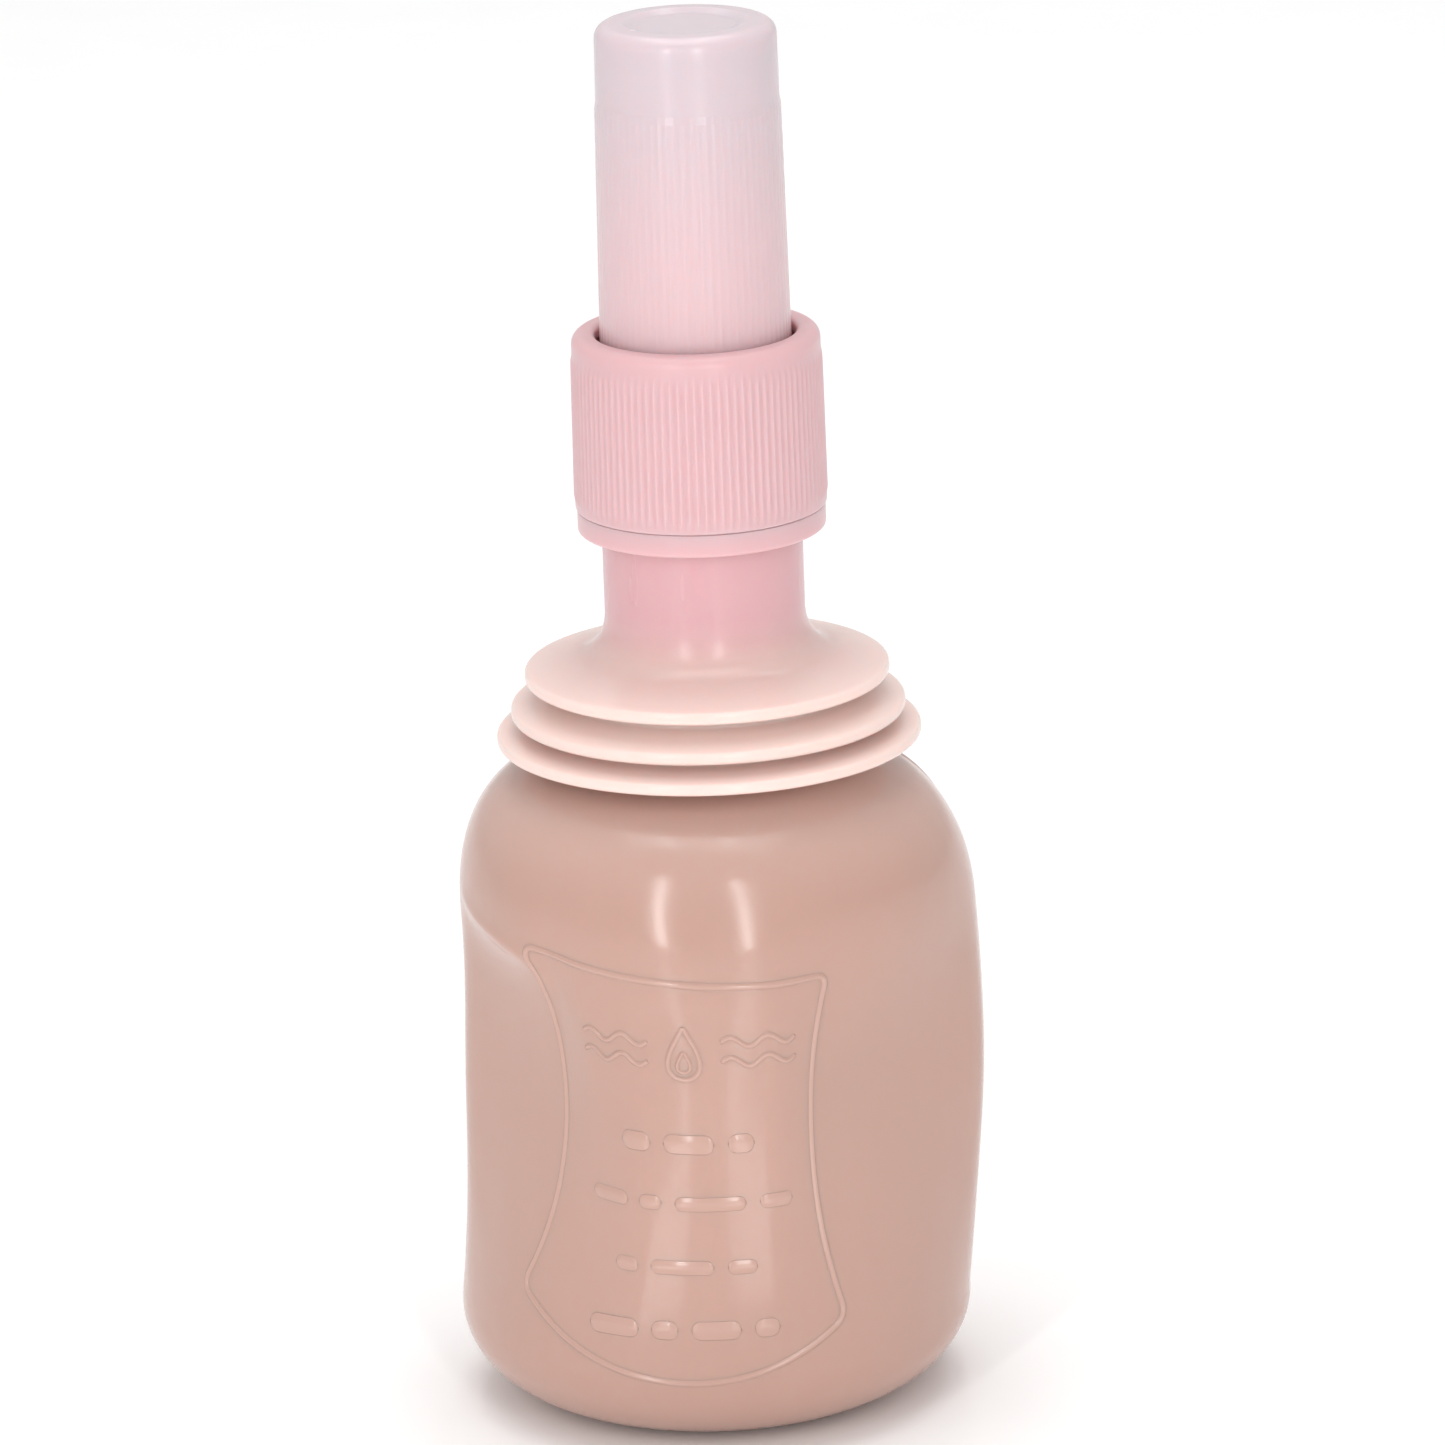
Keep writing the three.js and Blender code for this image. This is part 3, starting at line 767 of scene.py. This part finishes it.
class BOTTLE_OT_bellows(PieceOperator, bpy.types.Operator):
    """Bellows and neck as one moulding between the body and the neck, built at rest"""

    bl_idname = "bottle.bellows"
    bl_label = "Bellows and neck"

    def execute(self, context):
        corners = in_mm([
            (14.2, 66.0, 0), (14.2, 67.5, 0.5),
            (21.25, 68.3, 0.5), (21.2, 69.4, 0.5), (14.6, 70.3, 0.3),
            (19.75, 71.0, 0.5), (19.7, 72.1, 0.5), (14.2, 73.6, 0.3),
            (18.25, 74.7, 0.5), (18.2, 75.8, 0.5),
            (10.0, 77.7, 4.6), (10.0, 92.4, 0.2), (10.75, 92.9, 0.3), (10.0, 93.4, 0.2),
            (10.0, 100.0, 0.3), (8.6, 100.0, 0.3), (8.6, 79.0, 2.0), (12.6, 76.0, 1.0), (12.6, 66.0, 0),
        ])
        piece = turned_piece("bellows_neck", corners, finish_named("bellows_plastic"), columns=200,
                             spacing=0.8 * MM)
        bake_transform(piece)
        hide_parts("bellows_fold_lower", "bellows_fold_middle", "bellows_fold_upper", "neck_tube")
        return {"FINISHED"}


class BOTTLE_OT_collar(PieceOperator, bpy.types.Operator):
    """Screw collar with fine grip ribs"""

    bl_idname = "bottle.collar"
    bl_label = "Ribbed collar"

    def execute(self, context):
        closure = context.scene.bottle_closure
        low, high = node_heights("ribbed_collar")
        start, end = low + 0.7 * MM, high - 2.2 * MM
        corners = in_mm([(12.5, 0, 0.25), (12.32, 17.8, 1.1), (9.95, 17.85, 0.7), (9.95, 16.6, 0.3),
                         (10.75, 15.9, 0.3), (10.75, 11.5, 0.3), (9.85, 11.4, 0.2), (9.85, 10.3, 0.2),
                         (10.95, 10.25, 0.1), (10.95, 0, 0.2)])
        corners = [(r, z + low, fillet) for r, z, fillet in corners]

        def ribs(azimuth, r, z):
            """Narrow ribs: a cosine around the collar, raised to a power, on the outer face only."""
            ridge = (0.5 + 0.5 * np.cos(closure.grip_ribs * azimuth)) ** 1.6
            fade = smooth_step((z - start) / (0.5 * MM)) * smooth_step((end - z) / (0.9 * MM))
            return closure.rib_height * ridge * fade * (r > 12.1 * MM)

        piece = turned_piece("collar_skin", corners, finish_named("collar_plastic"),
                             columns=8 * closure.grip_ribs, spacing=0.6 * MM, ripple=ribs)
        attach(piece, "collar")
        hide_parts("ribbed_collar")
        return {"FINISHED"}


class BOTTLE_OT_band(PieceOperator, bpy.types.Operator):
    """Tamper band under the collar, with its break-off bridges"""

    bl_idname = "bottle.band"
    bl_label = "Tamper band"

    def execute(self, context):
        low, high = node_heights("tamper_band")
        radius = node_radius("tamper_band") + 0.15 * MM
        rim, ledge = high + 0.25 * MM, high - 0.3 * MM
        corners = [(radius, low, 0.35 * MM), (radius, rim, 0.12 * MM), (11.8 * MM, rim, 0.1 * MM),
                   (11.8 * MM, ledge, 0.1 * MM), (10.35 * MM, ledge, 0.1 * MM), (10.7 * MM, low, 0.2 * MM)]
        piece = turned_piece("band_skin", corners, finish_named("collar_plastic"), columns=200)
        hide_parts("tamper_band")
        stubs = [self.bridge(turn_by, ledge) for turn_by in
                 np.linspace(0, 2 * math.pi, context.scene.bottle_closure.bridges, endpoint=False)]
        bridges = swept_piece("band_bridges", stubs, finish_named("collar_plastic"))
        for made in (piece, bridges):
            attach(made, "band")
        return {"FINISHED"}

    @staticmethod
    def bridge(angle, ledge):
        """Break-off stub of a bridge: a short upright stroke on the ledge behind the band's rim."""
        outward = np.array([math.sin(angle), -math.cos(angle), 0])
        heights = np.linspace(ledge - 0.4 * MM, ledge + 0.5 * MM, 12)[:, None]
        path = outward * 11.2 * MM + heights * [0, 0, 1]
        return swept_grid(path, np.tile(outward, (12, 1)), 0.3 * MM, 0.35 * MM)


class BOTTLE_OT_overcap(PieceOperator, bpy.types.Operator):
    """Tall overcap with a dished crown and faint ribs"""

    bl_idname = "bottle.overcap"
    bl_label = "Overcap"

    def execute(self, context):
        closure = context.scene.bottle_closure
        low, high = node_heights("overcap")
        step = high - 8.2 * MM
        corners = [(0, high - 0.45 * MM, 0), (5.0 * MM, high - 0.4 * MM, 1.2 * MM),
                   (6.2 * MM, high, 0.6 * MM), (8.95 * MM, high - 0.1 * MM, 2.5 * MM),
                   (9.05 * MM, step + 0.5 * MM, 0.4 * MM), (9.14 * MM, step - 0.3 * MM, 0.4 * MM),
                   (9.55 * MM, low, 0.35 * MM), (8.4 * MM, low, 0.3 * MM),
                   (7.75 * MM, high - 2.2 * MM, 1.4 * MM), (0, high - 1.9 * MM, 0)]

        def ribs(azimuth, r, z):
            """Faint ribs on the outer face below the step."""
            ridge = (0.5 + 0.5 * np.cos(closure.cap_ribs * azimuth)) ** 2
            fade = smooth_step((step - z) / (0.4 * MM)) * smooth_step((z - low) / (2 * MM))
            return closure.cap_rib_height * ridge * fade * (r > 8.7 * MM)

        piece = turned_piece("overcap_skin", corners, finish_named("cap_plastic"), closed=False, steps=8,
                             columns=8 * closure.cap_ribs, ripple=ribs)
        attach(piece, "overcap")
        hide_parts("overcap")
        return {"FINISHED"}


class BOTTLE_OT_threads(PieceOperator, bpy.types.Operator):
    """Screw threads on the neck and in the collar"""

    bl_idname = "bottle.threads"
    bl_label = "Screw threads"

    def execute(self, context):
        closure = context.scene.bottle_closure
        pitch, start = closure.pitch, closure.thread_start
        half_width, half_height = 0.62 * MM, 0.52 * MM
        neck = swept_grid(*helix(10.1 * MM, start, pitch, 1), half_width, half_height)
        piece = swept_piece("neck_thread", [neck], finish_named("neck_plastic"))
        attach(piece, "neck")
        inner = swept_grid(*helix(10.95 * MM, start + pitch / 2, pitch, 1), half_width, half_height)
        piece = swept_piece("collar_thread", [inner], finish_named("collar_plastic"))
        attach(piece, "collar")
        return {"FINISHED"}


class BOTTLE_OT_cannula(PieceOperator, bpy.types.Operator):
    """Cannula with its flange, its plug and four side outlets near the rounded tip"""

    bl_idname = "bottle.cannula"
    bl_label = "Cannula"

    def execute(self, context):
        low, high = node_heights("cannula")
        flange, top = low + 7.25 * MM, low + 8.45 * MM
        corners = [(0, low + 40 * MM, 0), (2.6 * MM, low + 40 * MM, 0.8 * MM),
                   (2.6 * MM, low + 5.6 * MM, 0.1 * MM), (5.5 * MM, low + 5.6 * MM, 0.2 * MM),
                   (5.5 * MM, low, 0.2 * MM), (8.3 * MM, low, 0.5 * MM), (8.3 * MM, flange, 0.3 * MM),
                   (10.45 * MM, flange, 0.2 * MM), (10.45 * MM, top, 0.3 * MM), (7.0 * MM, top, 1.0 * MM),
                   (4.6 * MM, low + 37 * MM, 0.6 * MM), (4.95 * MM, high - 5.6 * MM, 1.0 * MM),
                   (4.9 * MM, high, 4.6 * MM), (0, high, 0)]
        outlets = low + 35 * MM

        def slots(azimuth, r, z):
            """Four upright slots with rounded ends, sunk from the outer face down to the bore."""
            turn_by = np.mod(azimuth + math.pi / 4, math.pi / 2) - math.pi / 4
            across, up = turn_by * r, np.maximum(np.abs(z - outlets) - 1.75 * MM, 0)
            inside = smooth_step((0.85 * MM - np.hypot(across, up)) / (0.25 * MM))
            return -1.75 * MM * inside * (r > 3.5 * MM)

        piece = turned_piece("cannula_skin", corners, finish_named("nozzle_plastic"), closed=False,
                             columns=288, spacing=0.45 * MM, ripple=slots)
        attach(piece, "nozzle")
        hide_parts("cannula")
        return {"FINISHED"}


class BOTTLE_OT_valve(PieceOperator, bpy.types.Operator):
    """Sealing washer, valve seat, disc and cage, and the dip tube"""

    bl_idname = "bottle.valve"
    bl_label = "Valve and dip tube"

    def execute(self, context):
        washer_low, washer_high = node_heights("sealing_washer")
        add_ring("sealing_washer", "nozzle", "seal_rubber", [
            (8.7 * MM, washer_low, 0.1 * MM), (9.9 * MM, washer_low, 0.3 * MM),
            (9.9 * MM, washer_high, 0.3 * MM), (8.7 * MM, washer_high, 0.1 * MM)])
        low, high = node_heights("valve_seat")
        shelf = high - 1.5 * MM
        add_ring("valve_seat", "nozzle", "nozzle_plastic", [
            (2.3 * MM, low, 0.2 * MM), (3.3 * MM, low, 0.3 * MM), (3.3 * MM, shelf, 0.3 * MM),
            (5.3 * MM, shelf, 0.2 * MM), (5.3 * MM, high, 0.2 * MM), (3.4 * MM, high, 0.1 * MM),
            (3.0 * MM, high - 0.25 * MM, 0.1 * MM), (2.3 * MM, high - 0.25 * MM, 0.1 * MM)])
        low, high = node_heights("valve_disc")
        add_ring("valve_disc", "valve_disc", "seal_rubber", [
            (0, low, 0), (4.3 * MM, low, 0.25 * MM), (4.3 * MM, high, 0.25 * MM),
            (1.2 * MM, high, 0.2 * MM), (0, high, 0)], closed=False)
        low, high = node_heights("valve_cage")
        add_ring("valve_cage", "nozzle", "nozzle_plastic", [
            (4.3 * MM, low, 0.2 * MM), (5.3 * MM, low, 0.2 * MM), (5.3 * MM, high, 0.2 * MM),
            (4.3 * MM, high, 0.2 * MM)])
        t = np.linspace(-1, 1, 40)[:, None]
        bars = [swept_grid(t * np.array(way) * 4.6 * MM + np.array([0, 0, (low + high) / 2]),
                           np.tile([0.0, 0.0, 1.0], (40, 1)), 0.7 * MM, 0.6 * MM)
                for way in ((1, 0, 0), (0, 1, 0))]
        piece = swept_piece("valve_cage_bars", bars, finish_named("nozzle_plastic"))
        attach(piece, "nozzle")
        low, high = node_heights("dip_tube")
        add_ring("dip_tube", "nozzle", "nozzle_plastic", [
            (1.35 * MM, low, 0.15 * MM), (2.05 * MM, low, 0.25 * MM), (2.05 * MM, high, 0.2 * MM),
            (1.35 * MM, high, 0.15 * MM)])
        return {"FINISHED"}


def add_ring(node_name, carrier, slot, corners, closed=True):
    """Turned piece that replaces one CAD node."""
    piece = turned_piece(node_name + "_skin", corners, finish_named(slot), columns=96, closed=closed)
    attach(piece, carrier)
    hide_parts(node_name)


class BOTTLE_OT_stage(PieceOperator, bpy.types.Operator):
    """Pale floor, soft studio light and the camera"""

    bl_idname = "bottle.stage"
    bl_label = "Stage"

    def execute(self, context):
        scene = context.scene
        stage = scene.bottle_stage
        add_floor()
        add_world(scene)
        add_lights(stage)
        add_camera(scene, stage)
        scene.view_settings.view_transform = "Standard"
        return {"FINISHED"}


def add_floor():
    """Large flat floor with a faint grain."""
    half = 3.0
    mesh = bpy.data.meshes.new("floor")
    mesh.from_pydata([(-half, -half, 0), (half, -half, 0), (half, half, 0), (-half, half, 0)], [],
                     [(0, 1, 2, 3)])
    material = bpy.data.materials.new("pale floor")
    material.use_nodes = True
    tree = material.node_tree
    shader = tree.nodes["Principled BSDF"]
    where = node(tree, "ShaderNodeTexCoord", (-800, 0)).outputs["Object"]
    shade = node(tree, "ShaderNodeMapRange", (-300, 0))
    shade.inputs["To Min"].default_value = 0.95
    shade.inputs["To Max"].default_value = 0.98
    tree.links.new(noise(tree, where, 60, 2, (-600, 0)), shade.inputs["Value"])
    tree.links.new(shade.outputs["Result"], shader.inputs["Base Color"])
    shader.inputs["Roughness"].default_value = 0.8
    add_piece("floor", mesh, material)


def add_world(scene):
    """Even white surroundings."""
    world = bpy.data.worlds.new("studio")
    world.use_nodes = True
    background = world.node_tree.nodes["Background"]
    background.inputs["Color"].default_value = (1, 1, 1, 1)
    background.inputs["Strength"].default_value = 0.66
    scene.world = world


def turned_about_z(point, angle):
    """A point turned about the bottle's axis."""
    return Matrix.Rotation(angle, 3, "Z") @ Vector(point)


def add_strip(name, place, target, across, size, power):
    """Rectangular soft light at a place, facing a target, with its width across."""
    data = bpy.data.lights.new(name, "AREA")
    data.shape = "RECTANGLE"
    data.size, data.size_y = size
    data.energy = power
    light = bpy.data.objects.new(name, data)
    back = (Vector(place) - Vector(target)).normalized()
    height = back.cross(Vector(across)).normalized()
    turned = Matrix((height.cross(back), height, back)).transposed().to_4x4()
    turned.translation = place
    light.matrix_world = turned
    light.visible_camera = False
    bpy.context.scene.collection.objects.link(light)


def add_lights(stage):
    """A wide soft box overhead with two narrow bars under it, and two upright strips in front. Each strip
    goes on as a low bar along the floor, which the upright walls mirror as a soft streak."""
    add_strip("soft box", (0, 0.2, 1.3), (0, 0.2, 0), (1, 0, 0), (1.1, 1.3), 6.8)
    upright = (0, 0, 1)
    for name, angle in (("left", -25), ("right", 14)):
        swing = stage.azimuth + math.radians(angle)
        forward = turned_about_z((0, -1, 0), swing)
        across = turned_about_z((1, 0, 0), swing)
        place = forward * 0.8 + Vector((0, 0, 0.36))
        add_strip(name + " strip", place, (0, 0, 0.14), across, (0.045, 0.68), 1.6)
        low = forward * 0.36 + Vector((0, 0, 0.006))
        add_strip(name + " floor bar", low, low + Vector(upright), across, (0.016, 0.62), 0.05)
    for name, side in (("left", -0.14), ("right", 0.08)):
        place = turned_about_z((side, 0.25, 0.7), stage.azimuth)
        add_strip(name + " bar", place, place - Vector(upright), turned_about_z((1, 0, 0), stage.azimuth),
                  (0.04, 0.9), 0.35)


def add_camera(scene, stage):
    """Camera on a circle round the bottle. Its width of view at that distance sets the lens."""
    sensor = 36.0
    data = bpy.data.cameras.new("camera")
    data.sensor_width = sensor
    data.lens = sensor * stage.distance / stage.width_seen
    data.clip_start = 0.01
    camera = bpy.data.objects.new("camera", data)
    side = Vector((math.cos(stage.azimuth), math.sin(stage.azimuth), 0))
    back = Vector((math.sin(stage.azimuth) * math.cos(stage.elevation),
                   -math.cos(stage.azimuth) * math.cos(stage.elevation), math.sin(stage.elevation)))
    up = back.cross(side)
    tilted_side = side * math.cos(stage.roll) - up * math.sin(stage.roll)
    tilted_up = up * math.cos(stage.roll) + side * math.sin(stage.roll)
    aim = side * 1.36 * MM + Vector((0, 0, 69.5 * MM))
    place = Matrix((tilted_side, tilted_up, back)).transposed().to_4x4()
    place.translation = aim + back * stage.distance
    camera.matrix_world = place
    scene.collection.objects.link(camera)
    scene.camera = camera


class BOTTLE_PT_panel(bpy.types.Panel):
    """Lists the bottle's operators and settings"""

    bl_idname = "BOTTLE_PT_panel"
    bl_label = "Squeeze irrigator bottle"
    bl_space_type = "VIEW_3D"
    bl_region_type = "UI"
    bl_category = "Bottle"

    def draw(self, context):
        for operator in OPERATORS:
            self.layout.operator(operator.bl_idname)
        for name in SETTINGS:
            settings = getattr(context.scene, name)
            for key in settings.bl_rna.properties.keys():
                if key not in ("rna_type", "name"):
                    self.layout.prop(settings, key)


OPERATORS = (BOTTLE_OT_body, BOTTLE_OT_label, BOTTLE_OT_bellows, BOTTLE_OT_collar, BOTTLE_OT_band,
             BOTTLE_OT_overcap, BOTTLE_OT_threads, BOTTLE_OT_cannula, BOTTLE_OT_valve, BOTTLE_OT_stage)
SETTINGS = {"bottle_body": BodySettings, "bottle_label": LabelSettings, "bottle_closure": ClosureSettings,
            "bottle_finish": FinishSettings, "bottle_stage": StageSettings}


def register():
    for settings in SETTINGS.values():
        bpy.utils.register_class(settings)
    for operator in OPERATORS:
        bpy.utils.register_class(operator)
    bpy.utils.register_class(BOTTLE_PT_panel)
    for name, settings in SETTINGS.items():
        setattr(bpy.types.Scene, name, PointerProperty(type=settings))


def unregister():
    for name in SETTINGS:
        delattr(bpy.types.Scene, name)
    bpy.utils.unregister_class(BOTTLE_PT_panel)
    for kind in (*OPERATORS, *SETTINGS.values()):
        bpy.utils.unregister_class(kind)


def main():
    register()
    for operator in OPERATORS:
        group, name = operator.bl_idname.split(".")
        getattr(getattr(bpy.ops, group), name)()


if __name__ == "__main__":
    main()
